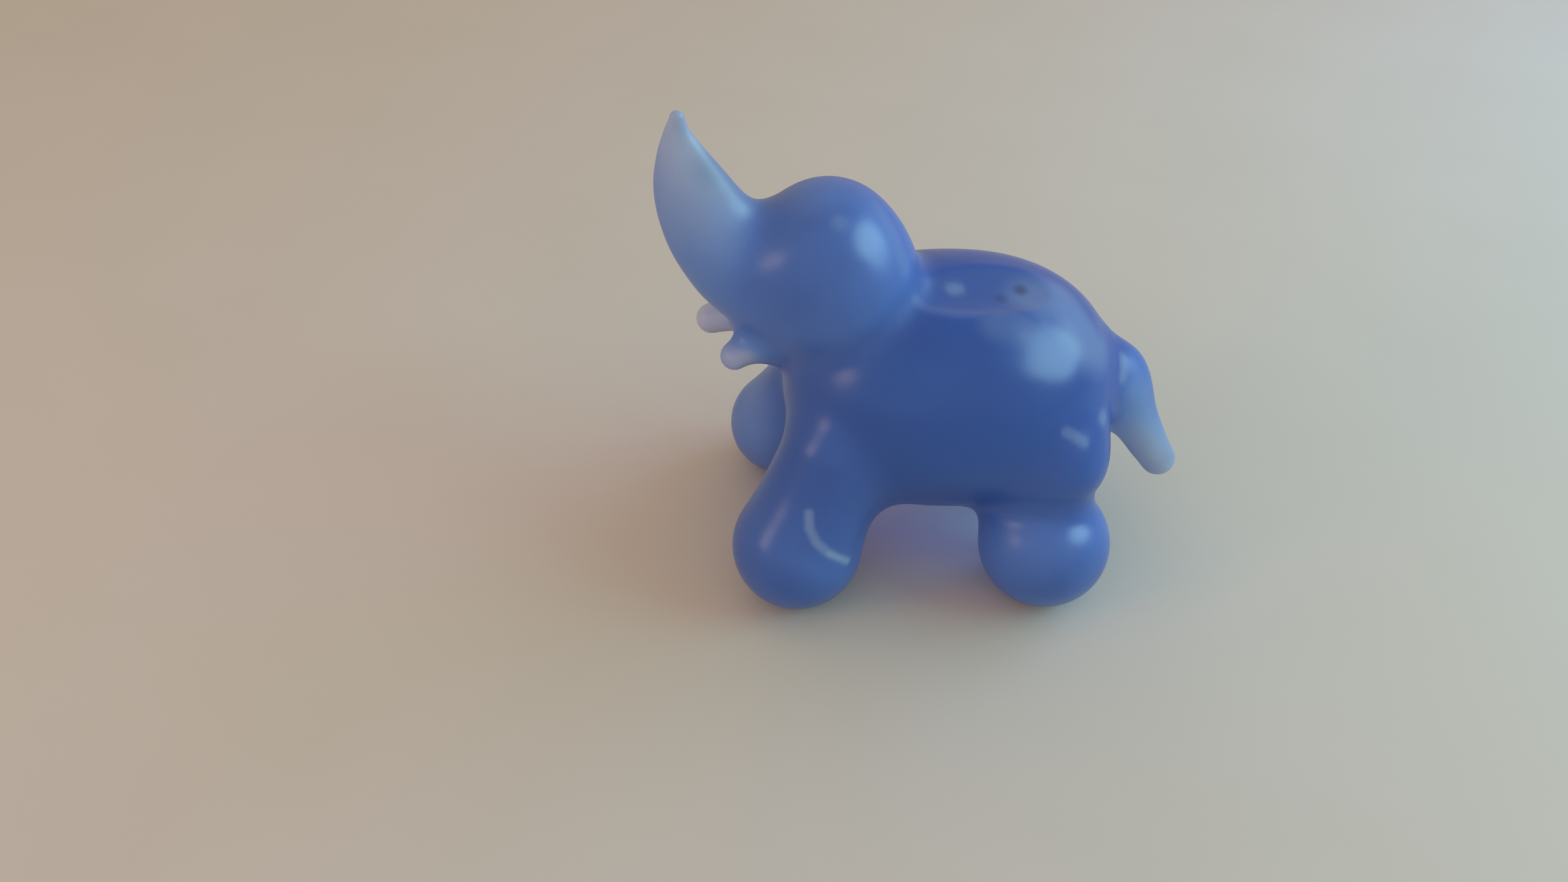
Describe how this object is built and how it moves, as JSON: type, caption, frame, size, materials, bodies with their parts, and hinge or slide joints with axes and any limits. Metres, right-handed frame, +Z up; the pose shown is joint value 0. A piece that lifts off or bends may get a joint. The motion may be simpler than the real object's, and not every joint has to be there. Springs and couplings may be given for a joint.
{
  "type": "toy elephant figurine",
  "caption": "Small lampworked elephant figurine of milky blue glass, trunk raised, standing on rounded feet; a free-standing shelf ornament or pretend-play animal.",
  "frame": {"origin": "on the surface the figure stands on, under the middle of its bounding box", "axes": "+X towards the tail and -X towards the face, -Y towards the animal's own left side, +Z up"},
  "size_m": [0.0368, 0.0228, 0.0335],
  "materials": {
    "glass_deep": "fire-polished milky blue glass, deepest where it is thickest",
    "glass_mid": "fire-polished milky blue glass",
    "glass_leg": "fire-polished milky blue glass",
    "glass_tail": "fire-polished milky blue glass, paler towards the end",
    "glass_pale": "fire-polished milky glass, pale grey-blue where it is drawn thin",
    "glass_clear": "fire-polished milky glass, nearly clear where it is drawn thin"
  },
  "bodies": {
    "root": {"body": "glass_deep", "head": "glass_mid", "trunk": "glass_pale", "tusk_left": "glass_clear", "tusk_right": "glass_clear", "leg_front_left": "glass_leg", "leg_front_right": "glass_leg", "leg_rear_left": "glass_leg", "leg_rear_right": "glass_leg", "tail": "glass_tail"}
  },
  "joints": []
}
